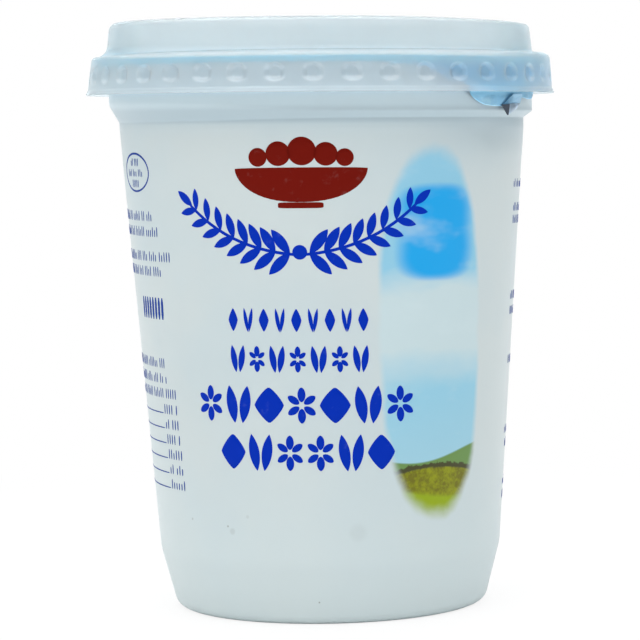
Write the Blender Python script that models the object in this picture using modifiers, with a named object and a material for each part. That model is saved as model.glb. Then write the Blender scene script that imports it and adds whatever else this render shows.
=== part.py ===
"""Tall lidded tub of cottage cheese: a tapered white pot, its foil seal and a press-on lid.

Metres, +Z up, the pot's axis on Z and its foot on z = 0. The shown side faces -Y, and an
angle round the pot is measured from -Y towards +X. The pot is shut, so it is one solid.
"""
import bpy
import bmesh
import numpy as np
from math import cos, sin, tan, pi, radians
from mathutils import Matrix, Vector

MM = 0.001
GAP = 0.3 * MM

# Pot: a 95 mm lid size, tapered body, short heel that turns in to a standing ring
RING_INNER_R = 27.2 * MM
BASE_RECESS = 1.2 * MM
HEEL_FILLET = 2.6 * MM
HEEL_R = 32.9 * MM
KINK_R = 36.25 * MM
KINK_Z = 12.6 * MM
KINK_SOFTNESS = 1.4 * MM
BODY_TOP_R = 43.0 * MM
BODY_TOP_Z = 102.7 * MM
COLLAR_R = 44.8 * MM
COLLAR_Z = 104.8 * MM
COLLAR_STEP = 0.6 * MM
COLLAR_STEP_DROP = 1.3 * MM
FLANGE_R = 46.7 * MM
FLANGE_TOP_Z = 115.1 * MM
FLANGE_THICK = 1.5 * MM
FLANGE_ROUND = 0.45 * MM
UNDERCUT_FILLET = 0.7 * MM

# The rim isn't quite square to the tapered body: foil and lid sit at the same small tilt
RIM_TILT = radians(0.88)
RIM_FROM_Z = 95 * MM

# Foil: a disc on the flange with a turned-down edge and one crinkled pull tab
FOIL_THICK = 0.25 * MM
FOIL_TOP_Z = FLANGE_TOP_Z + GAP + FOIL_THICK
FOIL_R = FLANGE_R + GAP + FOIL_THICK
FOIL_EDGE_ROUND = 0.55 * MM
FOIL_LIP = 1.1 * MM
TAB_HANG_R = 45.75 * MM
TAB_TUCK_FROM = 2.2 * MM
TAB_TUCK_TO = 4.2 * MM
TAB_ROWS = 8
CRINKLE = 0.35 * MM
CRINKLES = 17
CRINKLE_LEAN = 2.5 * MM
# Tab outline: how many millimetres the foil hangs down at each angle in degrees
TAB_OUTLINE = (
    (20, 1.1), (34, 5.4), (44, 9.9), (50, 10.8), (53.5, 12.3),
    (57, 10.4), (68, 9.2), (80, 8.0), (92, 4.6), (100, 1.1),
)

# Lid: skirt, shelf, raised crown and a stacking recess in its top
LID_WALL = 0.8 * MM
SKIRT_FOOT_R = 49.85 * MM
SKIRT_FOOT_Z = 108.35 * MM
SHELF_R = 48.6 * MM
SHELF_EDGE_Z = 116.65 * MM
SHELF_ROUND = 1.2 * MM
CROWN_FOOT_R = 45.2 * MM
CROWN_FOOT_Z = 116.85 * MM
CROWN_FOOT_FILLET = 1.1 * MM
CROWN_TOP_R = 44.55 * MM
CROWN_TOP_Z = 123.65 * MM
CROWN_ROUND = 1.3 * MM
LAND_INNER_R = 38.5 * MM
RECESS_R = 36.9 * MM
RECESS_DEPTH = 1.4 * MM
LIP_HEIGHT = 0.8 * MM
LIP_PROUD = 0.15 * MM

# Dimples pressed into the skirt
DIMPLES = 40
DIMPLE_R = 2.0 * MM
DIMPLE_DEPTH = 0.45 * MM
DIMPLE_Z = 112.3 * MM
DIMPLE_PHASE = radians(-1.8)

POT_STEPS = 64
FOIL_STEPS = 96
LID_STEPS = 80
SHARP_ANGLE = radians(35)


def clear_scene():
    for obj in list(bpy.data.objects):
        bpy.data.objects.remove(obj)


def make_collection(name):
    collection = bpy.data.collections.new(name)
    bpy.context.scene.collection.children.link(collection)
    return collection


def surface(name, colour, roughness, metallic=0.0):
    material = bpy.data.materials.new(name)
    material.use_nodes = True
    shader = material.node_tree.nodes["Principled BSDF"]
    shader.inputs["Base Color"].default_value = (*colour, 1.0)
    shader.inputs["Roughness"].default_value = roughness
    shader.inputs["Metallic"].default_value = metallic
    return material


def rounded(corner, before, after, radius, points=3):
    """Points of an arc that rounds a profile's corner between its two straight neighbours."""
    corner, before, after = (Vector(p) for p in (corner, before, after))
    to_before = (before - corner).normalized()
    to_after = (after - corner).normalized()
    half = to_before.angle(to_after) / 2
    reach = radius / np.tan(half)
    centre = corner + (to_before + to_after).normalized() * radius / sin(half)
    start = corner + to_before * reach - centre
    turn = start.angle_signed(corner + to_after * reach - centre)
    arc = []
    for i in range(points):
        spin = -turn * i / (points - 1)
        x = start.x * cos(spin) - start.y * sin(spin)
        y = start.x * sin(spin) + start.y * cos(spin)
        arc.append((centre.x + x, centre.y + y))
    return arc


def profile(*corners):
    """A polyline of (r, z) corners; a corner with a third value is rounded to that radius."""
    points = []
    for i, corner in enumerate(corners):
        if len(corner) == 3:
            points += rounded(corner[:2], corners[i - 1][:2], corners[i + 1][:2], corner[2])
        else:
            points.append(corner)
    return points


def turned(name, points, steps, collection):
    """Turn a profile round Z: its points are at +X and run down the outer side."""
    mesh = bpy.data.meshes.new(name)
    mesh.from_pydata([(r, 0, z) for r, z in points], [(i, i + 1) for i in range(len(points) - 1)], [])
    obj = bpy.data.objects.new(name, mesh)
    collection.objects.link(obj)
    screw = obj.modifiers.new("turn", "SCREW")
    screw.steps = steps
    screw.render_steps = steps
    screw.use_merge_vertices = True
    screw.merge_threshold = 0.00005
    screw.use_smooth_shade = True
    return obj


def apply_modifiers(obj):
    """Replace an object's mesh by its evaluated one, and drop its modifiers."""
    graph = bpy.context.evaluated_depsgraph_get()
    mesh = bpy.data.meshes.new_from_object(obj.evaluated_get(graph))
    obj.modifiers.clear()
    old = obj.data
    obj.data = mesh
    bpy.data.meshes.remove(old)


def tilt_rim(obj):
    """Lower what is above the body in proportion to how far it is towards +X."""
    for vertex in obj.data.vertices:
        if vertex.co.z > RIM_FROM_Z:
            vertex.co.z -= vertex.co.x * tan(RIM_TILT)


def shell(obj, thickness):
    """Give an open surface a wall on its inner side."""
    wall = obj.modifiers.new("wall", "SOLIDIFY")
    wall.thickness = thickness
    wall.offset = -1
    wall.use_even_offset = True


def finish(obj, material):
    obj.data.materials.clear()
    obj.data.materials.append(material)
    obj.data.shade_smooth()
    obj.data.set_sharp_from_angle(angle=SHARP_ANGLE)


def make_pot(collection):
    """The moulded pot with what it holds, closed at the rim: foot, heel, body, collar, flange."""
    under_flange = FLANGE_TOP_Z - FLANGE_THICK
    points = profile(
        (0, FLANGE_TOP_Z),
        (FLANGE_R, FLANGE_TOP_Z, FLANGE_ROUND),
        (FLANGE_R, under_flange, FLANGE_ROUND),
        (COLLAR_R, under_flange, UNDERCUT_FILLET),
        (COLLAR_R, COLLAR_Z),
        (COLLAR_R - COLLAR_STEP, COLLAR_Z - COLLAR_STEP_DROP),
        (BODY_TOP_R, BODY_TOP_Z),
        (KINK_R, KINK_Z, KINK_SOFTNESS),
        (HEEL_R, 0, HEEL_FILLET),
        (RING_INNER_R, 0),
        (RING_INNER_R - BASE_RECESS, BASE_RECESS),
        (0, BASE_RECESS),
    )
    pot = turned("pot", points, POT_STEPS, collection)
    apply_modifiers(pot)
    tilt_rim(pot)
    finish(pot, surface("white pot plastic", (0.80, 0.83, 0.83), 0.35))
    return pot


def hang_tab(vertex, row, edge_z):
    """Move a point of the foil's turned-down edge: how far it hangs follows the tab's outline.

    The tab drops past the flange, tucks in under it to hang beside the collar, and crinkles there.
    """
    angle = np.arctan2(vertex.co.x, -vertex.co.y)
    drop = np.interp(np.degrees(angle), *zip(*TAB_OUTLINE)) * MM * row / TAB_ROWS
    tucked = np.clip((drop - TAB_TUCK_FROM) / (TAB_TUCK_TO - TAB_TUCK_FROM), 0, 1)
    tucked = tucked * tucked * (3 - 2 * tucked)
    crinkle = CRINKLE * sin(angle * CRINKLES + drop / CRINKLE_LEAN) * tucked
    r = FOIL_R + (TAB_HANG_R - FOIL_R) * tucked + crinkle
    vertex.co = (r * sin(angle), -r * cos(angle), edge_z - drop)


def make_foil(collection):
    """The printed foil: flat over the rim, turned over its edge, with a tab hanging at one side."""
    edge_z = FOIL_TOP_Z - FOIL_EDGE_ROUND
    hanging = [(FOIL_R, edge_z - FOIL_LIP * row / TAB_ROWS) for row in range(1, TAB_ROWS + 1)]
    points = profile(
        (0, FOIL_TOP_Z),
        (FOIL_R - 6 * MM, FOIL_TOP_Z),
        (FOIL_R, FOIL_TOP_Z, FOIL_EDGE_ROUND),
        *hanging,
    )
    foil = turned("foil_seal", points, FOIL_STEPS, collection)
    apply_modifiers(foil)
    for vertex in foil.data.vertices:
        row = round((edge_z - vertex.co.z) / FOIL_LIP * TAB_ROWS)
        if row > 0:
            hang_tab(vertex, row, edge_z)
    tilt_rim(foil)
    shell(foil, FOIL_THICK)
    finish(foil, surface("printed foil", (0.25, 0.50, 0.66), 0.3, 0.6))
    return foil


def skirt_radius(z):
    """The skirt's outer radius at a height: it flares out towards its foot."""
    along = (SHELF_EDGE_Z - z) / (SHELF_EDGE_Z - SKIRT_FOOT_Z)
    return SHELF_R + (SKIRT_FOOT_R - LIP_PROUD - SHELF_R) * along


def make_dimple_cutter(collection):
    """Flattened balls in a ring, half sunk in the skirt: each cuts one round dimple."""
    flare = np.arctan2(skirt_radius(SKIRT_FOOT_Z) - SHELF_R, SHELF_EDGE_Z - SKIRT_FOOT_Z)
    shape = bmesh.new()
    for i in range(DIMPLES):
        turn = DIMPLE_PHASE + 2 * pi * i / DIMPLES
        ball = bmesh.ops.create_uvsphere(shape, u_segments=10, v_segments=6, radius=DIMPLE_R)
        place = (
            Matrix.Rotation(turn, 4, "Z")
            @ Matrix.Translation((0, -skirt_radius(DIMPLE_Z), DIMPLE_Z))
            @ Matrix.Rotation(pi / 2 - flare, 4, "X")
            @ Matrix.Diagonal((1, 1, DIMPLE_DEPTH / DIMPLE_R, 1))
        )
        bmesh.ops.transform(shape, matrix=place, verts=ball["verts"])
    mesh = bpy.data.meshes.new("dimples")
    shape.to_mesh(mesh)
    shape.free()
    cutter = bpy.data.objects.new("dimples", mesh)
    cutter.hide_render = True
    cutter.display_type = "WIRE"
    collection.objects.link(cutter)
    return cutter


def make_lid(collection, cutters):
    """The press-on lid: one thin shell from the stacking recess down to the flared skirt's lip."""
    lip_z = SKIRT_FOOT_Z + LIP_HEIGHT
    panel_z = CROWN_TOP_Z - RECESS_DEPTH
    points = profile(
        (0, panel_z),
        (RECESS_R, panel_z),
        (LAND_INNER_R, CROWN_TOP_Z),
        (CROWN_TOP_R, CROWN_TOP_Z, CROWN_ROUND),
        (CROWN_FOOT_R, CROWN_FOOT_Z, CROWN_FOOT_FILLET),
        (SHELF_R, SHELF_EDGE_Z, SHELF_ROUND),
        (skirt_radius(lip_z), lip_z),
        (skirt_radius(lip_z) + LIP_PROUD, lip_z - LIP_PROUD),
        (SKIRT_FOOT_R, SKIRT_FOOT_Z),
    )
    lid = turned("lid", points, LID_STEPS, collection)
    shell(lid, LID_WALL)
    dimples = make_dimple_cutter(cutters)
    cut = lid.modifiers.new("dimples", "BOOLEAN")
    cut.operation = "DIFFERENCE"
    cut.object = dimples
    apply_modifiers(lid)
    bpy.data.objects.remove(dimples)
    tilt_rim(lid)
    finish(lid, surface("milky lid plastic", (0.72, 0.78, 0.82), 0.3))
    return lid


clear_scene()
tub = make_collection("cottage cheese tub")
cutters = make_collection("cutters")
make_pot(tub)
make_foil(tub)
make_lid(tub, cutters)
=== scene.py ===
"""A tall tub of cottage cheese under a milky press-on lid, seen from the front and nearly level.

Metres, +Z up, the tub's axis on Z and its foot on z = 0. The shown side faces -Y. An angle round
the tub is measured from -Y towards +X, so a point lies at (r sin a, -r cos a, z).
"""
from math import cos, pi, radians, sin, tan

import bpy
import numpy as np
from mathutils import Matrix


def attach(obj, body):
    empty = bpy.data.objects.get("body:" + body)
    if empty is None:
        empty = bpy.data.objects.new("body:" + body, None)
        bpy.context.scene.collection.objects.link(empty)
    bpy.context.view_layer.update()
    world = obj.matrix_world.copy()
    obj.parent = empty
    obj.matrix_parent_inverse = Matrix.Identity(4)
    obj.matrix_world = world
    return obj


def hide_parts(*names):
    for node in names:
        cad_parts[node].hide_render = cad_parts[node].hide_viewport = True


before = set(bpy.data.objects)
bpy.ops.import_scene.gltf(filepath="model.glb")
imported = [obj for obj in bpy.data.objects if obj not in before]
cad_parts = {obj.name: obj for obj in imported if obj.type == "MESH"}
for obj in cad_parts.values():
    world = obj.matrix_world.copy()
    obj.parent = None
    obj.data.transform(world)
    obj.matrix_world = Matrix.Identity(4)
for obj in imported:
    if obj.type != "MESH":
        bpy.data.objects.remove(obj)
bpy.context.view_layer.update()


# The pot. White polypropylene formed in one piece: a tapered wall on a short heel that turns in to
# a standing ring, a plain collar and a flat flange. A soft picture of sky and fields is printed
# straight on its wall; the foil and the lid sit on the flange, very slightly out of square.
MM = 0.001
POT_AROUND = 320
# Radius and height in millimetres of the wall's two ends
WALL_TOP = (43.0, 102.6)
WALL_FOOT = (36.25, 12.6)
# What is above this height slopes down towards +X
RIM_FROM = 95 * MM
RIM_TILT = tan(radians(0.88))
# Corners of the pot's outline in millimetres: radius, height, rounding, and points on the run to
# the next corner. The collar's lower edge is long and soft at the left, short and crisp at the right
POT_RIM = ((40.0, 115.1, 0, 2), (46.7, 115.1, 0.45, 1), (46.7, 113.6, 0.45, 2))
COLLAR_LEFT = ((45.0, 113.6, 0.7, 5), (45.0, 106.2, 3.4, 1), (42.95, 102.6, 0.9, 1))
COLLAR_RIGHT = ((44.8, 113.6, 0.7, 5), (44.75, 104.6, 0.6, 1), (42.9, 103.3, 0.4, 1))
POT_FOOT = (
    (42.9, 101.3, 0.8, 90), (*WALL_FOOT, 9.0, 14), (32.9, 0, 2.6, 2), (27.2, 0, 0.5, 1),
    (26.0, 1.2, 0.5, 6), (12.0, 1.2, 0, 1), (11.0, 0.8, 0, 3),
)
# sin a where the left collar starts to give way to the right one, and how much later it has gone
COLLAR_EASE_FROM = -0.95
COLLAR_EASE_OVER = 1.15
# Shallow dents, in degrees and millimetres: angle, height, half width, half height, depth
DENTS = (
    (56, 99.6, 4.0, 3.0, 0.30), (50, 101.0, 5.0, 1.8, 0.18), (-28, 22.0, 9.0, 6.0, 0.08),
)
DENT_ARC_R = 40


def outline(corners, bend=9):
    """Points (r, z) in metres down a profile whose corners are in millimetres. A corner is an arc
    about the point that is its radius from both runs, swept by sin((1-k)w) and sin(kw) shares of
    its two ends; a run is equal steps."""
    ends = np.array([c[:2] for c in corners], float)
    parts = []
    for i, (_, _, radius, run) in enumerate(corners):
        corner = ends[i]
        if radius:
            back = (ends[i - 1] - corner) / np.linalg.norm(ends[i - 1] - corner)
            on = (ends[i + 1] - corner) / np.linalg.norm(ends[i + 1] - corner)
            half = np.arccos(back @ on) / 2
            centre = corner + (back + on) / np.linalg.norm(back + on) * radius / np.sin(half)
            start = corner + back * radius / np.tan(half) - centre
            stop = corner + on * radius / np.tan(half) - centre
            sweep = pi - 2 * half
            share = np.linspace(0, 1, bend)[:, None]
            arc = (np.sin((1 - share) * sweep) * start + np.sin(share * sweep) * stop) / np.sin(sweep)
            parts.append([centre + arc, run])
        else:
            parts.append([corner[None], run])
    points = []
    for (arc, run), following in zip(parts, parts[1:] + [None]):
        points.append(arc)
        if following is not None:
            share = np.linspace(0, 1, run + 2)[1:-1, None]
            points.append(arc[-1] + share * (following[0][0] - arc[-1]))
    return np.concatenate(points) * MM


def eased(share):
    """A smooth step: t^2 (3 - 2t) of a share t kept between 0 and 1."""
    t = np.clip(share, 0, 1)
    return t * t * (3 - 2 * t)


def turned(radius, height, angle):
    """Points (r sin a, -r cos a, z) for grids of radius, height and angle."""
    radius, height, angle = np.broadcast_arrays(radius, height, angle)
    return np.stack([radius * np.sin(angle), -radius * np.cos(angle), height], -1)


def tilted(points):
    """What is above the wall, lowered in proportion to how far it is towards +X."""
    above = points[..., 2] > RIM_FROM
    points[..., 2] -= np.where(above, points[..., 0] * RIM_TILT, 0)
    return points


def add_mesh(name, points, faces, finish, sharp=40):
    """An object from points and faces, smooth but for edges sharper than an angle in degrees."""
    mesh = bpy.data.meshes.new(name)
    mesh.from_pydata(points.reshape(-1, 3).tolist(), [], faces)
    mesh.materials.append(finish)
    mesh.shade_smooth()
    mesh.set_sharp_from_angle(angle=radians(sharp))
    obj = bpy.data.objects.new(name, mesh)
    bpy.context.scene.collection.objects.link(obj)
    return obj


def round_skin(name, grid, first, last, finish, sharp=40):
    """A closed skin round the axis: rows of a grid run down the outside, columns close on
    themselves, and a fan of triangles joins each end row to a point of the axis."""
    rows, cols = grid.shape[:2]
    row = np.arange(rows - 1)[:, None] * cols
    here = np.arange(cols)
    beside = (here + 1) % cols
    sides = np.stack([row + here, row + cols + here, row + cols + beside, row + beside], -1)
    top, foot = rows * cols, rows * cols + 1
    fans = [(top, a, b) for a, b in zip(here.tolist(), beside.tolist())]
    end = (rows - 1) * cols
    fans += [(foot, end + b, end + a) for a, b in zip(here.tolist(), beside.tolist())]
    points = np.concatenate([grid.reshape(-1, 3), [[0, 0, first], [0, 0, last]]])
    return add_mesh(name, points, sides.reshape(-1, 4).tolist() + fans, finish, sharp)


class Paint:
    """A value in a material: one socket, whose arithmetic adds Math nodes to the same tree."""

    def __init__(self, tree, socket=None):
        self.tree = tree
        self.socket = socket

    def add(self, kind, settings=None, values=None, out=0):
        """Any other node: its settings go in first, then values or links by socket name or number."""
        node = self.tree.nodes.new("ShaderNode" + kind)
        for name, value in (settings or {}).items():
            if name == "stops":
                while len(node.color_ramp.elements) < len(value):
                    node.color_ramp.elements.new(0.5)
                for stop, (place, colour) in zip(node.color_ramp.elements, value):
                    stop.position = place
                    stop.color = (*colour, 1)
            else:
                setattr(node, name, value)
        for name, value in (values or {}).items():
            if isinstance(value, Paint):
                self.tree.links.new(value.socket, node.inputs[name])
            elif isinstance(value, tuple) and len(value) == 3 and node.inputs[name].type == "RGBA":
                node.inputs[name].default_value = (*value, 1)
            else:
                node.inputs[name].default_value = value
        return Paint(self.tree, node.outputs[out])

    def maths(self, operation, *others):
        return self.add("Math", {"operation": operation}, dict(enumerate((self, *others))))

    def __add__(self, other):
        return self.maths("ADD", other)

    __radd__ = __add__

    def __sub__(self, other):
        return self.maths("SUBTRACT", other)

    def __rsub__(self, other):
        return self.maths("MULTIPLY_ADD", -1.0, other)

    def __mul__(self, other):
        return self.maths("MULTIPLY", other)

    __rmul__ = __mul__

    def __truediv__(self, other):
        return self.maths("DIVIDE", other)

    def __pow__(self, power):
        return self.maths("POWER", power)

    def __abs__(self):
        return self.maths("ABSOLUTE")

    def coordinates(self):
        """A point in the object's own space: as a vector, then x, y and z."""
        place = self.add("TexCoord", out="Object")
        return (place, *(self.add("SeparateXYZ", {}, {0: place}, out=i) for i in range(3)))

    def rise(self, low, high):
        """0 below low, 1 above high, and a smooth step between them."""
        steps = {"Value": self, "From Min": low, "From Max": high}
        return self.add("MapRange", {"interpolation_type": "SMOOTHSTEP"}, steps)

    def between(self, low, high, fall, gone):
        """1 from high to fall, 0 below low and above gone, with a smooth step at each side."""
        return self.rise(low, high) * (1 - self.rise(fall, gone))

    def cloud(self, scale, detail=2.0, roughness=0.5, stretch=(1, 1, 1)):
        """Noise about 0.5 on this vector, with scale in features per metre."""
        spread = self.add("VectorMath", {"operation": "MULTIPLY"}, {0: self, 1: stretch})
        values = {"Vector": spread, "Scale": scale, "Detail": detail, "Roughness": roughness}
        return self.add("TexNoise", {}, values)

    def tint(self, under, over):
        """The colour under, covered by the colour over where this value is 1."""
        mix = {"data_type": "RGBA", "clamp_factor": True}
        return self.add("Mix", mix, {0: self, 6: under, 7: over}, out=2)

    def bump(self, strength, depth):
        """Normals for this height, whose full range stands for a depth in metres."""
        return self.add("Bump", {}, {"Strength": strength, "Distance": depth, "Height": self})


def new_finish(name, constants):
    """A material with a Principled shader: constants go straight onto its sockets."""
    material = bpy.data.materials.new(name)
    material.use_nodes = True
    shader = material.node_tree.nodes["Principled BSDF"]
    for socket, value in constants.items():
        shader.inputs[socket].default_value = value
    return material, shader, Paint(material.node_tree)


def feed(shader, socket, value):
    value.tree.links.new(value.socket, shader.inputs[socket])


WHITE_PLASTIC = (0.588, 0.660, 0.666)
COOL_PLASTIC = (0.556, 0.646, 0.668)
# Painted light, paler at the heel
HEEL_PAINTED_LIGHT = (0.660, 0.755, 0.765)
# Painted shade, for the crease under the collar and for the right side below the lid
PAINTED_SHADE = (0.435, 0.540, 0.590)
# Painted light under the lid: bluer over the collar, and bluer and darker behind the skirt
RIM_BLUE_LIGHT = (0.572, 0.698, 0.755)
FLANGE_BLUE_SHADE = (0.480, 0.640, 0.750)
# Heights in metres, with the rim's tilt undone, over which each tint comes in, or comes and goes
RIM_LIGHT_BAND = (0.0985, 0.1065)
FLANGE_SHADE_BAND = (0.107, 0.110)
CREASE_SHADE_BAND = (0.1018, 0.1030, 0.1046, 0.1062)
CAST_SHADE_BAND = (0.090, 0.104, 0.1046, 0.1056)
HEEL_LIGHT_BAND = (0.002, 0.045)
# The most that each tint covers, and the angles over which the right side's painted shade comes in
RIM_PAINTED_COVER = 0.85
CAST_SHADE_COVER = 0.75
CAST_SHADE_SIDE = (radians(15), radians(60))
HEEL_LIGHT_COVER = 0.6
# Specks and a smudge of grime: arc and height in millimetres, size, strength
GRIME = (0.16, 0.17, 0.15)
SPECKS = (
    (-22.3, 20.4, 0.3, 0.5), (-21.2, 19.4, 0.9, 0.16), (-32.5, 21.2, 0.35, 0.3),
    (5.6, 19.3, 2.4, 0.07), (-2.6, 4.9, 0.25, 0.6), (-17.5, 22.6, 0.5, 0.12),
)
# The picture and the deep blue in its sky: middle and half size, over the arc and up, in millimetres
PICTURE_AT = (23.4, 59.2)
PICTURE_HALF = (13.1, 39.0)
PICTURE_EDGE = (0.74, 1.02)
PICTURE_COVER = 0.995
DEEP_AT = (24.2, 79.9)
DEEP_HALF = (10.5, 10.2)
DEEP_EDGE = (0.2, 1.0)
SKY_DEEP = (0.0, 0.36, 0.79)
SKY_HAZE = (0.60, 0.72, 0.75)
SKY_CLOUD = (0.55, 0.68, 0.71)
# Colours of the sky from the hills up, by share of the picture's height
SKY_STOPS = (
    (0.14, (0.34, 0.60, 0.72)), (0.35, (0.29, 0.58, 0.73)), (0.45, SKY_CLOUD), (0.60, SKY_CLOUD),
    (0.67, (0.27, 0.57, 0.74)),
)
# Ridge lines in millimetres: arc to a radian of the wave, its start in radians, its swing, its middle
FAR_RIDGE = (6.5, 1.9, 1.7, 34.6)
NEAR_RIDGE = (8.5, -1.1, 2.1, 29.6)
FRONT_RIDGE = (7.0, 0.4, 1.2, 26.6)
HEDGE_HIGH = 1.0
HEDGE_RAGGED = 1.6
FAR_HILL = (0.14, 0.27, 0.07)
HEDGE = (0.055, 0.055, 0.014)
NEAR_FIELD = (0.15, 0.14, 0.0)
FIELD_LIGHT = (0.27, 0.30, 0.0)
FIELD_FRONT = (0.29, 0.40, 0.0)


def ridge(arc, length, start, swing, middle):
    """A ridge's height along the arc: swing times the sine of arc / length + start, plus a middle."""
    return (arc / length + start).maths("SINE") * swing + middle


def printed_picture(place, arc, height, grain):
    """A deep sky that pales downwards with drifting cloud, above a far hill, a hedge and two light
    fields, and the window that shows it: |u|^2.2 + |v|^2.8 < 1, with a soft and uneven edge."""
    u = (arc - PICTURE_AT[0]) / PICTURE_HALF[0]
    v = (height - PICTURE_AT[1]) / PICTURE_HALF[1]
    feather = place.cloud(120, 3, 0.55)
    reach = abs(u) ** 2.2 + abs(v) ** 2.8 + (feather - 0.5) * 0.25
    window = 1 - reach.rise(*PICTURE_EDGE)

    drift = place.cloud(70, 3, 0.5, (1, 1, 2.0))
    up_picture = v * 0.5 + 0.5 + (drift - 0.5) * 0.10
    sky = up_picture.add("ValToRGB", {"stops": SKY_STOPS}, {0: up_picture})
    deep_u = abs(arc - DEEP_AT[0]) / DEEP_HALF[0]
    deep_v = abs(height - DEEP_AT[1]) / DEEP_HALF[1]
    deep = 1 - (deep_u ** 2.6 + deep_v ** 6 + (drift - 0.5) * 0.3).rise(*DEEP_EDGE)
    sky = deep.tint(sky, SKY_DEEP)
    sky = (drift.rise(0.52, 0.80) * 0.45).tint(sky, SKY_HAZE)

    near_top = ridge(arc, *NEAR_RIDGE)
    ragged = (grain - 0.5) * HEDGE_RAGGED
    picture = (ridge(arc, *FAR_RIDGE) - height).rise(-0.2, 0.25).tint(sky, FAR_HILL)
    picture = (near_top + ragged + HEDGE_HIGH - height).rise(-0.2, 0.2).tint(picture, HEDGE)
    mottle = (grain * 0.6 + place.cloud(160, 2) * 0.4).rise(0.38, 0.62)
    near = (near_top + ragged * 0.3 - height).rise(-0.25, 0.25)
    picture = near.tint(picture, mottle.tint(NEAR_FIELD, FIELD_LIGHT))
    front = (ridge(arc, *FRONT_RIDGE) - height).rise(-0.6, 0.6) * 0.9
    return front.tint(picture, FIELD_FRONT), window


def pot_finish():
    """White plastic with faint clouding; painted light and shade by height: bluer over the collar and
    behind the skirt, painted shade in the crease under the collar and on the right below the lid, and
    painted light paler at the heel; with the printed picture, a few specks of grime, and scuffs."""
    material, shader, paint = new_finish("white_pot_plastic", {
        "IOR": 1.49, "Specular IOR Level": 0.25,
    })
    place, x, y, z = paint.coordinates()
    radius = (x * x + y * y) ** 0.5
    angle = x.maths("ARCTAN2", y * -1)
    arc = angle * radius / MM
    height = z / MM
    level = z + x * RIM_TILT
    grain = place.cloud(900, 3, 0.65)

    body = place.cloud(34, 3, 0.55).rise(0.35, 0.7).tint(WHITE_PLASTIC, COOL_PLASTIC)
    # Painted light under the lid: the collar bluer, as lit through the lid, and bluer and a little darker
    # behind the skirt under the flange
    body = (level.rise(*RIM_LIGHT_BAND) * RIM_PAINTED_COVER).tint(body, RIM_BLUE_LIGHT)
    body = (level.rise(*FLANGE_SHADE_BAND) * RIM_PAINTED_COVER).tint(body, FLANGE_BLUE_SHADE)
    # Painted shade in the crease under the collar, a little weaker towards the right
    crease = level.between(*CREASE_SHADE_BAND) * (1.0 - angle.rise(-0.6, 0.6) * 0.15)
    body = crease.tint(body, PAINTED_SHADE)
    # Painted shade on the right below the collar, where the lid and the tab block the light
    right_painted_shade = level.between(*CAST_SHADE_BAND) * angle.rise(*CAST_SHADE_SIDE) * CAST_SHADE_COVER
    body = right_painted_shade.tint(body, PAINTED_SHADE)
    # Painted light: paler towards the foot and on the underside
    body = ((1 - level.rise(*HEEL_LIGHT_BAND)) * HEEL_LIGHT_COVER).tint(body, HEEL_PAINTED_LIGHT)

    picture, window = printed_picture(place, arc, height, grain)
    colour = (window * PICTURE_COVER).tint(body, picture)
    for at, up, size, strength in SPECKS:
        away = (((arc - at) ** 2 + (height - up) ** 2) ** 0.5) / size
        colour = ((1 - away.rise(0.4, 1.0)) * strength).tint(colour, GRIME)
    feed(shader, "Base Color", colour)
    scuffs = place.cloud(75, 4, 0.7, (1, 1, 0.35))
    feed(shader, "Roughness", scuffs * 0.16 + 0.30)
    skin = grain * 0.35 + place.cloud(140, 2)
    feed(shader, "Normal", skin.bump(0.12, 0.4 * MM))
    return material


def pot_grid():
    """The outline turned round the axis, the left collar's share easing to the right one's with
    sin a, less each dent: depth times exp(-(across^2 + up^2))."""
    angle = np.linspace(-pi, pi, POT_AROUND, endpoint=False)[None]
    left, right = (
        outline(POT_RIM + collar + POT_FOOT)[:, None] for collar in (COLLAR_LEFT, COLLAR_RIGHT)
    )
    share = eased((np.sin(angle) - COLLAR_EASE_FROM) / COLLAR_EASE_OVER)[..., None]
    both = left * (1 - share) + right * share
    r, z = both[..., 0], both[..., 1]
    for at, up, half_wide, half_high, depth in DENTS:
        across = (angle - radians(at)) * DENT_ARC_R / half_wide
        r = r - depth * MM * np.exp(-(across ** 2) - ((z / MM - up) / half_high) ** 2)
    return tilted(turned(r, z, angle))


pot = round_skin("pot_skin", pot_grid(), POT_RIM[0][1] * MM, POT_FOOT[-1][1] * MM, pot_finish())
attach(pot, "root")
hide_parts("pot")


# The print. Opaque inks laid on the pot's wall as thin films: a garland of leaves under a heaped
# bowl, four rows of simple shapes, and groups of thin upright strokes at both edges of the shown
# side. Its lines slope down very slightly towards the right.
INK_PROUD = 0.035 * MM
INK_SUNK = 0.06 * MM
PRINT_SLOPE = tan(radians(-0.68))
BLUE_INK = (0.0, 0.028, 0.43)
RUSSET_INK = (0.160, 0.006, 0.002)
THIN_INK = (0.010, 0.050, 0.300)
# How a stroke's ends close: the powers n and m; and the shares of a half turn that its steps span
ROUND_BAR = (7, 1 / 7)
STEM = (9, 0.3)
DISC = (2, 0.5)
LEAF = (2, 0.9)
PETAL = (2, 0.6)
LOZENGE = (1.25, 0.8)
BOWL = (2.3, 0.55)
STROKE_SPAN = (0.02, 0.98)


def on_wall(arc, height, lift, about=0.0):
    """A printed point: arc and height in millimetres over the wall, lifted off it by a distance,
    with its zero arc at an angle round the pot."""
    height = height + arc * PRINT_SLOPE
    share = (height - WALL_FOOT[1]) / (WALL_TOP[1] - WALL_FOOT[1])
    radius = WALL_FOOT[0] + (WALL_TOP[0] - WALL_FOOT[0]) * share
    return turned(radius * MM + lift, height * MM, arc / radius + about)


def film_lift(levels):
    """How far each point of a film's section is off the wall: 1 is its face, -1 its hidden back."""
    levels = np.array(levels, float)
    return levels * np.where(levels > 0, INK_PROUD, INK_SUNK)


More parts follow.
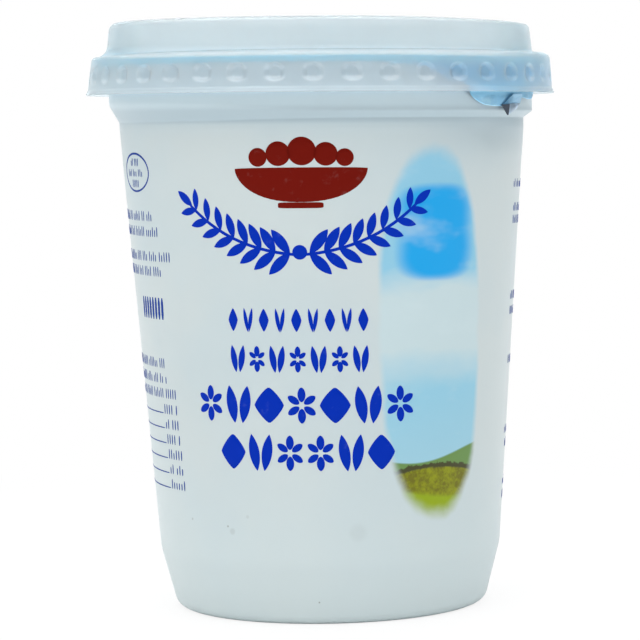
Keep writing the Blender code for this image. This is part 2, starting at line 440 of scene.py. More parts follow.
def lay_ink(name, strokes, finish, steps, about=0.0):
    """Thin closed films. A stroke is a straight or bowed path, x from -1 to 1 along it in cosine
    steps, with a width of (1 - |x|^n)^m to each side, and one ring of points across it at each x.

    A stroke's numbers: arc, height, half length, width above, width below, n, m, turn, bow.
    """
    arc, height, length, above, below, n, m, turn, bow = np.array(strokes, float).T[..., None]
    x = -np.cos(np.linspace(*STROKE_SPAN, steps) * pi)[None]
    envelope = (1 - np.abs(x) ** n) ** m
    across = np.array([-1, -0.96, -0.5, 0, 0.5, 0.96, 1, 0.6, -0.6])
    lift = film_lift([-0.5, 1, 1, 1, 1, 1, -0.5, -1, -1])
    side = np.where(across > 0, above[..., None], below[..., None]) * across * envelope[..., None]
    along = (x * length)[..., None]
    bend = (bow * (1 - x ** 2))[..., None]
    slope = (-2 * bow * x / length)[..., None]
    lean = np.sqrt(1 + slope ** 2)
    flat_x = along - side * slope / lean
    flat_y = bend + side / lean
    c, s = np.cos(turn)[..., None], np.sin(turn)[..., None]
    turned_x = arc[..., None] + flat_x * c - flat_y * s
    turned_y = height[..., None] + flat_x * s + flat_y * c
    points = on_wall(turned_x, turned_y, lift, about)

    ring = len(across)
    start = np.arange(len(strokes))[:, None] * steps * ring
    first = start[..., None] + np.arange(steps - 1)[:, None] * ring
    here, beside = np.arange(ring), (np.arange(ring) + 1) % ring
    quads = np.stack([first + here, first + ring + here, first + ring + beside, first + beside], -1)
    cap = start + np.arange(ring)
    far_cap = cap + (steps - 1) * ring
    faces = quads.reshape(-1, 4).tolist() + cap.tolist() + far_cap[:, ::-1].tolist()
    return add_mesh(name, points, faces, finish, 50)


def ink_finish(name, colour):
    """Screen ink: even, nearly matt, with faint thin places where the plastic shows."""
    material, shader, paint = new_finish(name, {"IOR": 1.5, "Specular IOR Level": 0.05})
    place = paint.add("TexCoord", out="Object")
    thin = place.cloud(420, 3, 0.6).rise(0.6, 0.85) * 0.05
    feed(shader, "Base Color", thin.tint(colour, WHITE_PLASTIC))
    feed(shader, "Roughness", place.cloud(90) * 0.15 + 0.40)
    return material


def bar(arc, height, half_long, half_high):
    return (arc, height, half_long, half_high, half_high, *ROUND_BAR, 0, 0)


def leaf(arc, height, half_long, half_wide, turn):
    return (arc, height, half_long, half_wide, half_wide, *LEAF, turn, 0)


def disc(arc, height, radius):
    return (arc, height, radius, radius, radius, *DISC, 0, 0)


# The garland's middle, and how far its ends are beside it and above it, in millimetres
GARLAND_AT = (-5.0, 76.2)
GARLAND_REACH = (24.5, 10.2)
STEM_HALF = 0.32
KNOT_R = 1.5
# Pairs of leaves: how far they turn off the stem, the first one's half length and what each next
# one loses, half width as a share of that, and where a leaf's middle is along itself
LEAF_PAIRS = 8
LEAF_SPLAY = 0.85
LEAF_HALF = 3.1
LEAF_LOSS = 0.13
LEAF_SLIM = 0.36
LEAF_OUT = 0.95
# The leaf at each end: half length and half width
END_LEAF = (2.4, 0.9)


def garland():
    """Leaves in pairs along a hanging curve, height = low + hang x^2, shrinking to its ends."""
    (middle, low), (half, hang) = GARLAND_AT, GARLAND_REACH
    marks = []
    for side in (-1, 1):
        chord = side * np.arctan2(hang, half)
        marks.append((middle + side * half / 2, low + hang / 2, half * 0.57, STEM_HALF, STEM_HALF,
                      *STEM, chord, -hang / 4))
        for i in range(LEAF_PAIRS):
            x = side * (i + 0.7) / (LEAF_PAIRS + 0.3)
            lean = np.arctan(2 * hang * x / half) + (0 if side > 0 else pi)
            size = LEAF_HALF - LEAF_LOSS * i
            for turn in (lean + LEAF_SPLAY, lean - LEAF_SPLAY):
                arc = middle + half * x + cos(turn) * size * LEAF_OUT
                height = low + hang * x * x + sin(turn) * size * LEAF_OUT
                marks.append(leaf(arc, height, size, size * LEAF_SLIM, turn))
        marks.append(leaf(middle + side * half * 1.05, low + hang * 1.08, *END_LEAF, lean))
    marks.append(disc(middle, low + 0.3, KNOT_R))
    return marks


# A blossom's petals: half length and place of the middle as shares of its reach, and half width as
# a share of the half length
PETALS = 6
PETAL_HALF = 0.40
PETAL_OUT = 0.58
PETAL_SLIM = 0.56
BLOSSOM_WIDE = 1.05
# Twin leaves, as shares of the place they fill: how far apart, how tall, how wide; and their lean
TWIN_APART = 0.48
TWIN_TALL = 1.03
TWIN_SLIM = 0.40
TWIN_LEAN = 0.16


def blossom(arc, height, half_wide, half_high):
    """Round-ended petals about a point, stretched to the row's height."""
    marks = []
    for i in range(PETALS):
        turn = pi / 2 + i * 2 * pi / PETALS
        across, up = cos(turn) * half_wide * BLOSSOM_WIDE, sin(turn) * half_high
        size = np.hypot(across, up) * PETAL_HALF
        slim = size * PETAL_SLIM
        marks.append((arc + across * PETAL_OUT, height + up * PETAL_OUT, size, slim, slim,
                      *PETAL, np.arctan2(up, across), 0))
    return marks


def twin_leaves(arc, height, half_wide, half_high):
    """Two upright leaves that lean apart."""
    return [
        leaf(arc + side * half_wide * TWIN_APART, height, half_high * TWIN_TALL,
             half_wide * TWIN_SLIM, pi / 2 - side * TWIN_LEAN)
        for side in (-1, 1)
    ]


def lozenge(arc, height, half_wide, half_high):
    return [(arc, height, half_wide, half_high, half_high, *LOZENGE, 0, 0)]


def row_of(kinds, low, high, left, right, fill):
    """Shapes in equal places between two arcs, as tall as the row."""
    pitch = (right - left) / len(kinds)
    marks = []
    for i, kind in enumerate(kinds):
        arc = left + pitch * (i + 0.5)
        marks += kind(arc, (low + high) / 2, pitch * fill / 2, (high - low) / 2)
    return marks


# Strokes that stand for words, as shares of their pitch: half width, and the gap after a word; and
# how much lower the short ones are
STROKE_SLIM = 0.17
WORD_GAP = 0.8
SHORT_BY = 0.3


def uprights(rng, height, left, right, half_high, pitch=0.9):
    """Words too fine to read, as groups of thin upright strokes, one in three of them short."""
    marks = []
    while left < right:
        for _ in range(rng.integers(2, 7)):
            short = half_high * rng.choice((0, 0, SHORT_BY))
            if left < right:
                marks.append(bar(left, height - short, pitch * STROKE_SLIM, half_high - short))
            left += pitch
        left += pitch * WORD_GAP
    return marks


# Rows of shapes: what is in them, low and high edge, left and right end, share of a place filled
FRONT_ROWS = (
    ([lozenge, twin_leaves] * 4 + [lozenge], 60.4, 65.2, -21.2, 9.2, 0.62),
    ([twin_leaves, blossom] * 3 + [twin_leaves], 52.2, 57.6, -20.8, 9.0, 0.84),
    ([blossom, twin_leaves, lozenge, blossom, lozenge, twin_leaves, blossom],
     41.8, 49.3, -29.0, 18.4, 0.92),
    ([lozenge, twin_leaves, blossom, blossom, twin_leaves, lozenge], 32.1, 39.5, -23.5, 13.9, 0.92),
)
BACK_ROW = ([lozenge, blossom, twin_leaves, blossom, lozenge], 55.0, 62.0, -22.0, 12.0, 0.9)

blue_marks = garland()
for row in FRONT_ROWS:
    blue_marks += row_of(*row)
shapes = lay_ink("print_blue_shapes", blue_marks, ink_finish("blue_ink", BLUE_INK), 22)

# Fine lines at the left edge: height, and the arc where each ends. All start round the side
LEFT_START = -66
LEFT_LINES = (
    (83.3, -42.2), (80.1, -39.5), (75.0, -36.4), (71.9, -39.2), (52.8, -39.8), (49.6, -39.3),
    (46.5, -36.5),
)
LEFT_HIGH = 1.05
BLOCK_BARS = 8
BLOCK_AT = (-49.6, 64.2)
BLOCK_PITCH = 1.37
BLOCK_BAR = (0.42, 2.3)
# Lines after a leader: how many, height of the first and the step down, the leader's middle, drop
# below the words and half sizes, the words' ends, and how far each line's start and end move right
LEADERS = 6
LEADER_FROM = 43.2
LEADER_STEP = 3.15
LEADER_ARC = -52.1
LEADER_DROP = 0.9
LEADER_BAR = (10.0, 0.12)
LEADER_WORDS = (-41.3, -35.9)
LEADER_SHIFT = (0.30, 0.28)
# Fine lines at the right edge, and the three lines in the oval with how far they reach
RIGHT_LINES = (89.6, 84.6, 82.0, 66, 62.8, 52.4, 37.5, 34.5, 26.4, 23.4)
RIGHT_START, RIGHT_END = 52.0, 70
OVAL_AT = (-49.4, 92.3)
OVAL_HALF = (6.6, 3.9)
OVAL_LINES = ((94.4, 2.2), (92.2, 4.2), (90.0, 1.8))
BACK_LINES = (46.0, 42.5, 39.0, 35.5, 32.0, 28.5)
BACK_START, BACK_END = -27, 17

rng = np.random.default_rng(11)
fine_marks, leader_marks = [], []
for low, end in LEFT_LINES:
    fine_marks += uprights(rng, low, LEFT_START, end, LEFT_HIGH)
for i in range(BLOCK_BARS):
    fine_marks.append(bar(BLOCK_AT[0] + BLOCK_PITCH * i, BLOCK_AT[1], *BLOCK_BAR))
for i in range(LEADERS):
    low = LEADER_FROM - i * LEADER_STEP
    leader_marks.append(bar(LEADER_ARC + LEADER_SHIFT[0] * i, low - LEADER_DROP, *LEADER_BAR))
    start, end = (at + shift * i for at, shift in zip(LEADER_WORDS, LEADER_SHIFT))
    fine_marks += uprights(rng, low, start, end, LEFT_HIGH, 1.0)
for low in RIGHT_LINES:
    fine_marks += uprights(rng, low, RIGHT_START + rng.uniform(0, 1.5), RIGHT_END, 0.9)
for low, reach in OVAL_LINES:
    fine_marks += uprights(rng, low, OVAL_AT[0] - reach, OVAL_AT[0] + reach, 0.8, 0.8)
fine = lay_ink("print_fine_strokes", fine_marks, ink_finish("thin_blue_ink", THIN_INK), 4)
leaders = lay_ink("print_leader_lines", leader_marks, fine.data.materials[0], 40)

# The back repeats the garland over one row of shapes and a block of fine lines
back_lines = []
for low in BACK_LINES:
    back_lines += uprights(rng, low, BACK_START, BACK_END - rng.uniform(0, 6), 0.9)
back_marks = garland() + row_of(*BACK_ROW)
back_shapes = lay_ink("print_back_shapes", back_marks, shapes.data.materials[0], 22, pi)
back_fine = lay_ink("print_back_strokes", back_lines, fine.data.materials[0], 4, pi)

# The bowl's brim, then its half width, rise and depth; its foot's drop, half width and half height;
# and its curds from the brim's middle: arc, height, radius
BRIM_AT = (-4.6, 93.2)
BOWL_SIZE = (13.6, 0.25, 6.8)
BOWL_FOOT = (7.3, 4.6, 0.6)
CURDS = ((-8.6, 2.3, 1.9), (-4.4, 3.0, 2.5), (0.4, 3.5, 2.9), (5.2, 2.9, 2.4), (9.0, 2.2, 1.8))


def bowl_marks():
    """A wide bowl on a foot, heaped with round curds."""
    middle, brim = BRIM_AT
    drop, *foot = BOWL_FOOT
    marks = [(middle, brim, *BOWL_SIZE, *BOWL, 0, 0), bar(middle, brim - drop, *foot)]
    return marks + [disc(middle + arc, brim + up, size) for arc, up, size in CURDS]


russet = lay_ink("print_russet_bowl", bowl_marks(), ink_finish("russet_ink", RUSSET_INK), 30)
back_russet = lay_ink("print_back_bowl", bowl_marks(), russet.data.materials[0], 30, pi)


def ring_film(name, place, half, half_line, finish):
    """An oval line: a small flat section carried round (a cos t, b sin t) and closed on itself."""
    t = np.linspace(0, 2 * pi, 72, endpoint=False)[:, None]
    across = np.array([-1, -0.8, 0.8, 1, 0.5, -0.5]) * half_line
    lift = film_lift([-0.5, 1, 1, -0.5, -1, -1])
    flat_x = place[0] + (half[0] + across) * np.cos(t)
    flat_y = place[1] + (half[1] + across) * np.sin(t)
    points = on_wall(flat_x, flat_y, lift)
    steps, ring = points.shape[:2]
    i, j = np.arange(steps)[:, None] * ring, np.arange(ring)
    k, onward = (j + 1) % ring, (i + ring) % (steps * ring)
    faces = np.stack([i + j, i + k, onward + k, onward + j], -1).reshape(-1, 4).tolist()
    return add_mesh(name, points, faces, finish, 50)


oval = ring_film("print_oval_line", OVAL_AT, OVAL_HALF, 0.22, fine.data.materials[0])
for film in (shapes, back_shapes, fine, leaders, back_fine, russet, back_russet, oval):
    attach(film, "root")


# The foil seal. Thin printed aluminium heat-sealed to the flange, light blue on its outer face. Its
# edge is turned down all round; at the right a pull tab hangs out under the lid, crumpled by the
# lid's skirt, with its point folded under so that bare metal shows, dark with painted shade in the fold.
FOIL_AROUND = 640
FOIL_THICK = 0.12 * MM
# In millimetres: height of the disc, radius of its edge, radius of the tab tucked below the flange
FOIL_TOP = 115.62
FOIL_R = 47.15
TAB_R = 45.7
# How many millimetres the foil hangs down at each angle in degrees
TAB_HANG = (
    (14, 0.45), (20, 0.9), (25.8, 1.4), (27.4, 1.7), (30.2, 2.9), (33, 4.05), (37, 4.5),
    (39.6, 5.5), (41.0, 6.8), (43.0, 8.0), (46.2, 9.1), (49.6, 9.35), (53, 9.35), (57, 9.2),
    (61, 9.0), (62.8, 8.6), (65.2, 7.7), (66.2, 7.5), (70, 7.9), (74, 7.8), (76.5, 6.0),
    (84, 3.4), (92, 1.4), (100, 0.45),
)
# The drop in millimetres at which it starts to tuck in, at each angle, and how far that goes on
TUCK_FROM = ((40, 4.4), (56, 4.2), (66, 2.2), (80, 1.4))
TUCK_OVER = 3.2
# Creases in millimetres and degrees: depth, length of a wave, lean, and its start as a share
CREASES = (
    (0.16, 7.2, 25, 0.2), (0.13, 5.1, -38, 1.1), (0.10, 3.9, 72, 0.6), (0.08, 2.7, -8, 0.3),
    (0.05, 1.7, 51, 1.7),
)
CREASE_FROM = 0.8
CREASE_OVER = 6.0
CREASE_ARC_R = 46
RIPPLE_DEEP = 0.05 * MM
RIPPLE_PITCH = 3.1


def fold_wave(along):
    """A triangle wave between -1 and 1, so that what it bends keeps flat sides and sharp creases."""
    return np.abs((along % 2) - 1) * 2 - 1


def crumple(arc, drop):
    """Creases in metres: triangle waves over the tab in five directions, added up."""
    total = 0
    for size, length, lean, start in CREASES:
        along = arc * cos(radians(lean)) + drop * sin(radians(lean))
        total = total + size * fold_wave(along / length + start)
    return total * MM


def foil_sheet(angle, inset):
    """The foil's outer face less an inset: the top, a rounded edge, then the drop. Past the flange
    the drop tucks in to hang beside the collar and crumples there; where the foil is short, its
    edge only ripples."""
    degrees = np.degrees(angle)
    hang = np.interp(degrees, *zip(*TAB_HANG)) * MM
    edge = outline((
        (20, FOIL_TOP, 0, 4), (44.5, FOIL_TOP, 0, 2), (FOIL_R, FOIL_TOP, 0.5, 1),
        (FOIL_R, FOIL_TOP - 0.7, 0, 0),
    ), 7) - inset
    drop = np.linspace(0, 1, 34)[1:, None] * hang
    tucked = eased((drop - np.interp(degrees, *zip(*TUCK_FROM)) * MM) / (TUCK_OVER * MM))
    creased = np.clip((drop - CREASE_FROM * MM) / (CREASE_OVER * MM), 0, 1)
    short = 1 - np.clip((hang - 2 * MM) / (2 * MM), 0, 1)
    arc = angle * CREASE_ARC_R
    r = FOIL_R * MM - inset + (TAB_R - FOIL_R) * MM * tucked + crumple(arc, drop / MM) * creased
    r = r + fold_wave(arc / RIPPLE_PITCH) * RIPPLE_DEEP * short
    r_edge, z_edge = (np.repeat(edge[:, i:i + 1], angle.shape[1], 1) for i in (0, 1))
    return np.concatenate([r_edge, r]), np.concatenate([z_edge, edge[-1, 1] - drop])


def foil_grid():
    """The foil's outer face down to its edge, then its inner face back up."""
    angle = np.linspace(-pi, pi, FOIL_AROUND, endpoint=False)[None]
    outer_r, outer_z = foil_sheet(angle, 0)
    inner_r, inner_z = foil_sheet(angle, FOIL_THICK)
    r = np.concatenate([outer_r, inner_r[::-1]])
    z = np.concatenate([outer_z, inner_z[::-1]])
    return tilted(turned(r, z, angle))


FOIL_BLUE = (0.34, 0.68, 0.95)
FOIL_PALE = (0.50, 0.81, 0.98)
FOIL_MIDDLE = (0.80, 0.90, 0.95)
# Painted shade from the tab's foot to the turned edge, in the lip's shadow and deeper where the skirt
# covers it: from and to a height, and its colour
FOIL_SHADE_BANDS = (
    (0.1066, 0.1080, (0.17, 0.40, 0.57)), (0.1087, 0.1092, (0.0, 0.42, 0.76)),
    (0.1100, 0.1122, (0.0, 0.52, 0.93)), (0.1138, 0.1146, (0.02, 0.70, 0.98)),
)


def foil_finish():
    """Light blue lacquer over aluminium, embossed with a fine waffle; paler on the flat disc under
    the lid; painted shade below the lid's lip, and deeper, darker blue as painted shade where the skirt
    covers."""
    material, shader, paint = new_finish("printed_foil", {"IOR": 1.5, "Specular IOR Level": 0.3})
    place, x, y, z = paint.coordinates()
    wear = place.cloud(260, 4, 0.65)
    middle = 1 - ((x * x + y * y) ** 0.5).rise(0.0425, 0.0445)
    level = z + x * RIM_TILT
    blue = wear.rise(0.42, 0.7).tint(FOIL_BLUE, FOIL_PALE)
    # Painted shade: the lip's shadow on the tab, and darker blues where the skirt covers the foil
    for low, high, colour in FOIL_SHADE_BANDS:
        blue = level.rise(low, high).tint(blue, colour)
    feed(shader, "Base Color", middle.tint(blue, FOIL_MIDDLE))
    feed(shader, "Metallic", wear * 0.2 + 0.2)
    feed(shader, "Roughness", place.cloud(500) * 0.2 + 0.26)
    waffle = place.add("TexVoronoi", {"feature": "F1"}, {"Vector": place, "Scale": 1500.0})
    skin = waffle * 0.5 + place.cloud(300, 3) * 1.5
    feed(shader, "Normal", skin.bump(0.25, 0.3 * MM))
    return material


foil = round_skin("foil_sheet", foil_grid(), FOIL_TOP * MM, FOIL_TOP * MM - FOIL_THICK, foil_finish(), 25)
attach(foil, "root")
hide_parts("foil_seal")

# The tab's small folds: points along each side, and corners as (degrees, radius, height)
FOLD_SIDE = 9
PLEAT = ((52.4, 46.0, 105.55), (57.6, 46.5, 107.9), (56.4, 46.0, 105.35), (63.6, 46.2, 107.9))
LOW_PLEAT = ((56.0, 46.0, 105.7), (57.0, 46.35, 107.0), (62.6, 46.0, 105.9), (63.8, 46.2, 107.9))
SHADED_FOLD = ((52.5, 46.25, 105.75), (55.1, 46.2, 103.65), (56.7, 46.3, 105.85), (55.5, 46.25, 103.6))
PALE_FOLD = ((56.3, 46.3, 105.95), (55.4, 46.2, 103.6), (61.6, 46.4, 106.1), (59.6, 46.4, 105.0))
PLEAT_DEEP = (0.03, 0.18, 0.33)
PLEAT_LIGHT = (0.30, 0.55, 0.74)
PLEAT_TURN = (radians(54.5), radians(60.5))
# Painted shade for the fold under the tab's point
FOLD_SHADE = (0.035, 0.05, 0.075)
BRIGHT_METAL = (0.36, 0.46, 0.56)


def facet(name, corners, bulge, finish):
    """A small stiff fold: a sheet between four (angle, radius, height) corners, u and v shares of
    them, arched by bulge times 16 u(1-u)v(1-v), and given a back a foil's thickness behind."""
    angle, radius, height = np.array(corners, float).reshape(2, 2, 3).transpose(2, 0, 1)
    steps = np.linspace(0, 1, FOLD_SIDE)
    u, v = np.meshgrid(steps, steps, indexing="ij")

    def share(c):
        return (c[0, 0] * (1 - u) * (1 - v) + c[0, 1] * (1 - u) * v + c[1, 0] * u * (1 - v)
                + c[1, 1] * u * v)

    out = share(radius) + bulge * 16 * u * (1 - u) * v * (1 - v)
    front = turned(out * MM, share(height) * MM, np.radians(share(angle)))
    back = turned(out * MM - FOIL_THICK, share(height) * MM, np.radians(share(angle)))
    count = FOLD_SIDE
    cell = (np.arange(count - 1)[:, None] * count + np.arange(count - 1)).reshape(-1)
    face = np.stack([cell, cell + 1, cell + count + 1, cell + count], -1)
    rim = np.concatenate([
        np.arange(count), np.arange(1, count) * count + count - 1,
        (count - 1) * count + np.arange(count - 2, -1, -1), np.arange(count - 2, 0, -1) * count,
    ])
    onward = np.roll(rim, -1)
    size = count * count
    walls = np.stack([rim, rim + size, onward + size, onward], -1)
    faces = np.concatenate([face, face[:, ::-1] + size, walls])
    points = tilted(np.concatenate([front.reshape(-1, 3), back.reshape(-1, 3)]))
    return add_mesh(name, points, faces.tolist(), finish, 30)


def bare_foil_finish(name, colour, metallic):
    """Rolled aluminium with fine drawn streaks."""
    material, shader, paint = new_finish(name, {"Metallic": metallic})
    place = paint.add("TexCoord", out="Object")
    streak = place.cloud(700, 2, 0.5, (1, 1, 0.15))
    lighter = tuple(c * 1.5 for c in colour)
    feed(shader, "Base Color", streak.rise(0.4, 0.7).tint(colour, lighter))
    feed(shader, "Roughness", streak * 0.2 + 0.25)
    return material


def pleat_finish():
    """The lacquered foil in a pleat's shade: deep at the crease, paling round towards the right."""
    material, shader, paint = new_finish("shaded_foil", {"Metallic": 0.2, "Roughness": 0.38})
    place, x, y, _ = paint.coordinates()
    uneven = x.maths("ARCTAN2", y * -1) + (place.cloud(900, 3) - 0.5) * 0.06
    feed(shader, "Base Color", uneven.rise(*PLEAT_TURN).tint(PLEAT_DEEP, PLEAT_LIGHT))
    return material


pleat = facet("foil_pleat", PLEAT, 0.1, pleat_finish())
low_pleat = facet("foil_low_pleat", LOW_PLEAT, 0.1, pleat.data.materials[0])
# A near-black facet in the tab's folded point: painted shade on the bare metal
shaded_fold = facet("foil_shaded_fold", SHADED_FOLD, 0.0, bare_foil_finish("shaded_metal", FOLD_SHADE, 0.3))
pale_fold = facet("foil_pale_fold", PALE_FOLD, 0.25, bare_foil_finish("bright_metal", BRIGHT_METAL, 0.4))
for fold in (pleat, low_pleat, shaded_fold, pale_fold):
    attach(fold, "root")


# The lid. Milky polypropylene, formed thin: a stacking recess inside a narrow land, a raised crown,
# a shelf and a flared skirt with round dimples that grip under the flange, and a small bead at its
# lip. It is a little warped: rounder and sloping at the left, crisp and flat at the right.
LID_AROUND = 640
LID_WALL = 0.5 * MM
# Heights in millimetres of the lid's two faces on its axis
LID_APEX = 122.2
LID_UNDER_APEX = 121.7
# Outlines from the middle down to the lip, in millimetres: radius, height, rounding, run
LID_LEFT = (
    (1.0, LID_APEX, 0, 4), (11.6, 122.4, 0.3, 1), (12.3, 122.1, 0.3, 3), (36.6, 122.1, 0.8, 1),
    (38.1, 123.6, 0.8, 2), (44.5, 123.6, 1.8, 2), (45.3, 116.75, 2.6, 2), (48.4, 116.2, 0.8, 28),
)
LID_RIGHT = (
    (1.0, LID_APEX, 0, 4), (11.6, 121.9, 0.3, 1), (12.3, 121.6, 0.3, 3), (36.6, 121.6, 0.8, 1),
    (38.1, 122.8, 0.8, 2), (44.35, 122.8, 1.0, 2), (45.0, 116.85, 0.6, 2), (48.65, 116.7, 1.4, 28),
)
LID_FRONT = (
    (1.0, LID_APEX, 0, 4), (11.6, 122.3, 0.3, 1), (12.3, 122.0, 0.3, 3), (36.6, 122.0, 0.8, 1),
    (38.1, 123.45, 0.8, 2), (44.4, 123.45, 1.1, 2), (45.15, 116.9, 1.0, 2), (48.5, 116.65, 1.1, 28),
)
# The lip's radius at the left, the right and the front, then its bead: how far out, and its height
LIP_R = (49.75, 49.4, 49.65)
LIP_STEPS = (
    (-0.36, 109.5), (-0.32, 109.4), (-0.12, 109.1), (-0.1, 108.95), (-0.08, 108.85), (0.1, 108.6),
    (0.1, 108.45), (0.1, 108.35),
)
LIP_FOOT = LIP_STEPS[-1][1] * MM
# A dimple's floor as a share of its radius, and its ramp's foot and top in radii from the middle
DIMPLES = 40
DIMPLE_PHASE = radians(-1.8)
DIMPLE_AT = 112.2 * MM
DIMPLE_R = 2.0 * MM
DIMPLE_DEEP = 0.70 * MM
DIMPLE_FLOOR = 0.74
DIMPLE_RAMP = (-0.95, -0.30)


def sideways(profile):
    """Unit normals of a profile that runs outwards and down: its direction turned a quarter left."""
    along = np.gradient(profile, axis=0)
    along /= np.linalg.norm(along, axis=1, keepdims=True)
    return np.stack([-along[:, 1], along[:, 0]], -1)


def dimple_depth(angle, r, z):
    """Dishes at equal angles: the product of two smooth steps t^2 (3 - 2t), one in from the rim of
    the dish to its floor, one up a ramp from its foot that catches under the flange."""
    pitch = 2 * pi / DIMPLES
    off = (angle - DIMPLE_PHASE + pitch / 2) % pitch - pitch / 2
    up = (z - DIMPLE_AT) / DIMPLE_R
    away = np.sqrt((off * r / DIMPLE_R) ** 2 + up ** 2)
    foot, top = DIMPLE_RAMP
    return DIMPLE_DEEP * eased((1 - away) / (1 - DIMPLE_FLOOR)) * eased((up - foot) / (top - foot))


def lid_grid():
    """Three outlines mixed round the lid by the squares of sin a and cos a, walled inwards along
    their normals, with the dimples pressed into both faces, and the faces joined round the lip. The
    inner face has every other row."""
    sides = [
        outline(corners + tuple((lip + out, z, 0, 0) for out, z in LIP_STEPS), 7)
        for corners, lip in zip((LID_LEFT, LID_RIGHT, LID_FRONT), LIP_R)
    ]
    angle = np.linspace(-pi, pi, LID_AROUND, endpoint=False)[None] + DIMPLE_PHASE
    share = np.sin(angle) ** 2
    shares = share * (np.sin(angle) < 0), share * (np.sin(angle) >= 0), 1 - share

    def around(profiles):
        return [sum(p[:, i:i + 1] * s for p, s in zip(profiles, shares)) for i in (0, 1)]

    r, z = around(sides)
    out_r, out_z = around([sideways(side) for side in sides])
    pressed = dimple_depth(angle, r, z)
    inner_r = r - out_r * (pressed + LID_WALL)
    inner_z = np.maximum(z - out_z * (pressed + LID_WALL), LIP_FOOT)
    grid_r = np.concatenate([r - out_r * pressed, inner_r[::-2]])
    grid_z = np.concatenate([z - out_z * pressed, inner_z[::-2]])
    return tilted(turned(grid_r, grid_z, angle))


LID_MILK = (0.925, 0.98, 1.0)
LID_CLEAR = (0.94, 0.985, 1.0)
LID_GLOW = (0.89, 0.965, 0.99)
# Painted light: the tab's blue showing through the skirt
LID_TAB_SHOW_THROUGH = (0.79, 0.935, 0.985)
# Where the foil's tab presses on the skirt: the slanting edge's angle at a level in metres, how fast
# that angle falls with the level, the edge's softness, the right end, and the top
PRESS_ANGLE = 0.73
PRESS_LEVEL = 0.109
PRESS_SLANT = 50
PRESS_EDGE = (-0.03, 0.06)
PRESS_END = (0.94, 1.12)
PRESS_TOP = (0.1130, 0.1148)
# The glossier band of the dimples, its coat at the front, and what it loses at the sides
GRIP_BAND = (0.1096, 0.1104, 0.1143, 0.1150)
GRIP_COAT = 0.60
GRIP_LOSS = 0.48
# Share of light that the plastic scatters through itself at the front, and what the flanks add
SCATTER = 0.12
FLANK_SCATTER = 0.26


def mix_shaders(material, shader, other, factor):
    """The material's surface: a shader, replaced by the other one where the factor is 1."""
    tree = material.node_tree
    mix = factor.add("MixShader", {}, {0: factor})
    tree.links.new(shader.outputs[0], mix.socket.node.inputs[1])
    tree.links.new(other.socket, mix.socket.node.inputs[2])
    tree.links.new(mix.socket, tree.nodes["Material Output"].inputs["Surface"])


def lid_finish():
    """Milky plastic: part of the light passes through, blurred, and part is scattered; faint flow
    clouds, a glossier band where the dimples grip, and painted blue light where the foil's tab presses
    behind the skirt, standing in for the tab seen through."""
    material, shader, paint = new_finish("milky_lid_plastic", {
        "IOR": 1.42, "Transmission Weight": 0.76, "Coat IOR": 1.75, "Coat Roughness": 0.14,
    })
    place, x, y, z = paint.coordinates()
    angle = x.maths("ARCTAN2", y * -1)
    aside = abs(angle.maths("SINE"))
    level = z + x * RIM_TILT
    flow = place.cloud(45, 3, 0.5)
    milk = flow.rise(0.35, 0.7).tint(LID_MILK, LID_CLEAR)
    past_edge = (angle + (level - PRESS_LEVEL) * PRESS_SLANT - PRESS_ANGLE).rise(*PRESS_EDGE)
    pressed = past_edge * (1 - angle.rise(*PRESS_END)) * (1 - level.rise(*PRESS_TOP))
    # Painted light: the blue of the tab that shows through the skirt where it presses
    feed(shader, "Base Color", pressed.tint(milk, LID_TAB_SHOW_THROUGH))
    feed(shader, "Roughness", place.cloud(160, 3, 0.6) * 0.08 + 0.18)
    gloss = level.between(*GRIP_BAND) * (GRIP_COAT - aside.rise(0.3, 0.85) * GRIP_LOSS)
    feed(shader, "Coat Weight", gloss)
    skin = place.cloud(1100, 2) * 0.15 + flow
    feed(shader, "Normal", skin.bump(0.02, 0.3 * MM))
    glow = paint.add("BsdfTranslucent", {}, {"Color": LID_GLOW})
    mix_shaders(material, shader, glow, aside.rise(0.72, 1.0) * FLANK_SCATTER + SCATTER)
    return material


lid = round_skin("lid_shell", lid_grid(), LID_APEX * MM, LID_UNDER_APEX * MM, lid_finish(), 60)
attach(lid, "root")
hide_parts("lid")


# The studio. A pale floor that fades into white, a white surround, a broad soft light above and in
# front at the left and a weaker one at the right; the camera is a long lens just above the middle.
EYE = (-1.23 * MM, -623.1 * MM, 100.9 * MM)
LOOK_DOWN = radians(3.73)
LEAN = radians(1.25)
LENS = 164.2
SENSOR = 36
# The surround's light: its top, behind the tub, all over, and what both sides and the right lose
SKY_RISE = (0.25, 0.95)
SKY_TOP_LIGHT = 1.7
BACK_RISE = (0.78, 0.97)
BACK_LIGHT = 0.9
EVEN_LIGHT = 0.30
SIDE_RISE = (0.3, 0.9)
SIDE_SHADE = 0.11
RIGHT_RISE = (0.2, 0.9)
RIGHT_SHADE = 0.09
# The floor's disc, in metres, and how far out its soft shadow has faded into white
FLOOR_R = 6
FLOOR_DROP = 0.05 * MM
FLOOR_SIDES = 96
FLOOR_COLOUR = (0.93, 0.935, 0.94)
FLOOR_FADE = (0.03, 0.25)
FLOOR_WHITE = 0.85
# Area lights of one size, aimed at one point: place, power, colour
LIGHT_SIZE = 0.7
LIGHT_AIM = (0, 0, 0.05)
LIGHTS = {
    "key": ((-0.45, -0.75, 0.95), 1.5, (1.0, 0.99, 0.975)),
    "fill": ((0.50, -0.70, 0.90), 0.3, (0.98, 0.99, 1.0)),
}


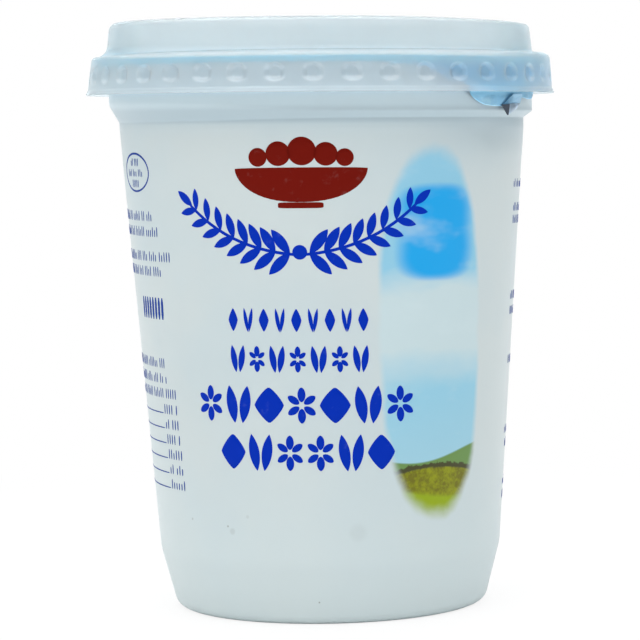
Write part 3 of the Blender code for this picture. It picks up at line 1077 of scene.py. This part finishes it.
def floor_disc():
    """A wide flat disc just under the foot: to the camera it glows white but for a soft shadow."""
    t = np.linspace(0, 2 * pi, FLOOR_SIDES, endpoint=False)
    points = np.stack([FLOOR_R * np.cos(t), FLOOR_R * np.sin(t), np.full(FLOOR_SIDES, -FLOOR_DROP)], -1)
    material, shader, paint = new_finish("pale_floor", {
        "Base Color": (*FLOOR_COLOUR, 1), "Roughness": 0.9,
    })
    place = paint.add("TexCoord", out="Object")
    far = place.add("VectorMath", {"operation": "LENGTH"}, {0: place}, out="Value")
    seen = paint.add("LightPath", out="Is Camera Ray")
    glow = paint.add("Emission", {}, {"Strength": 1.0})
    white = seen * (far.rise(*FLOOR_FADE) * (1 - FLOOR_WHITE) + FLOOR_WHITE)
    mix_shaders(material, shader, glow, white)
    return add_mesh("floor", points, [tuple(range(FLOOR_SIDES))], material)


def soft_light(name, place, power, colour):
    """A square area light at a place, turned to face the tub."""
    data = bpy.data.lights.new(name, "AREA")
    data.size = LIGHT_SIZE
    data.energy = power
    data.color = colour
    light = bpy.data.objects.new(name, data)
    bpy.context.scene.collection.objects.link(light)
    back = np.array(place, float) - np.array(LIGHT_AIM, float)
    light.location = place
    light.rotation_euler = (
        np.arctan2(np.hypot(back[0], back[1]), back[2]), 0, np.arctan2(back[1], back[0]) + pi / 2
    )


floor_disc()
for name, (place, power, colour) in LIGHTS.items():
    soft_light(name, place, power, colour)

world = bpy.data.worlds.new("white_surround")
world.use_nodes = True
bpy.context.scene.world = world
surround = Paint(world.node_tree)
seen = surround.add("LightPath", out="Is Camera Ray")
toward = surround.add("TexCoord", out="Generated")
across, along, up = (surround.add("SeparateXYZ", {}, {0: toward}, out=i) for i in range(3))
dome = up.rise(*SKY_RISE) * SKY_TOP_LIGHT + along.rise(*BACK_RISE) * BACK_LIGHT + EVEN_LIGHT
dome = dome - abs(across).rise(*SIDE_RISE) * SIDE_SHADE - across.rise(*RIGHT_RISE) * RIGHT_SHADE
background = world.node_tree.nodes["Background"]
background.inputs["Color"].default_value = (1, 1, 1, 1)
feed(background, "Strength", seen.maths("MULTIPLY_ADD", 1 - dome, dome))
bpy.context.scene.view_settings.view_transform = "Standard"
bpy.context.scene.view_settings.look = "None"

camera = bpy.data.objects.new("camera", bpy.data.cameras.new("camera"))
camera.data.lens = LENS
camera.data.sensor_width = SENSOR
camera.data.clip_start = 0.01
camera.data.clip_end = 30
aimed = Matrix.Rotation(pi / 2 - LOOK_DOWN, 4, "X") @ Matrix.Rotation(-LEAN, 4, "Z")
camera.matrix_world = Matrix.Translation(EYE) @ aimed
bpy.context.scene.collection.objects.link(camera)
bpy.context.scene.camera = camera
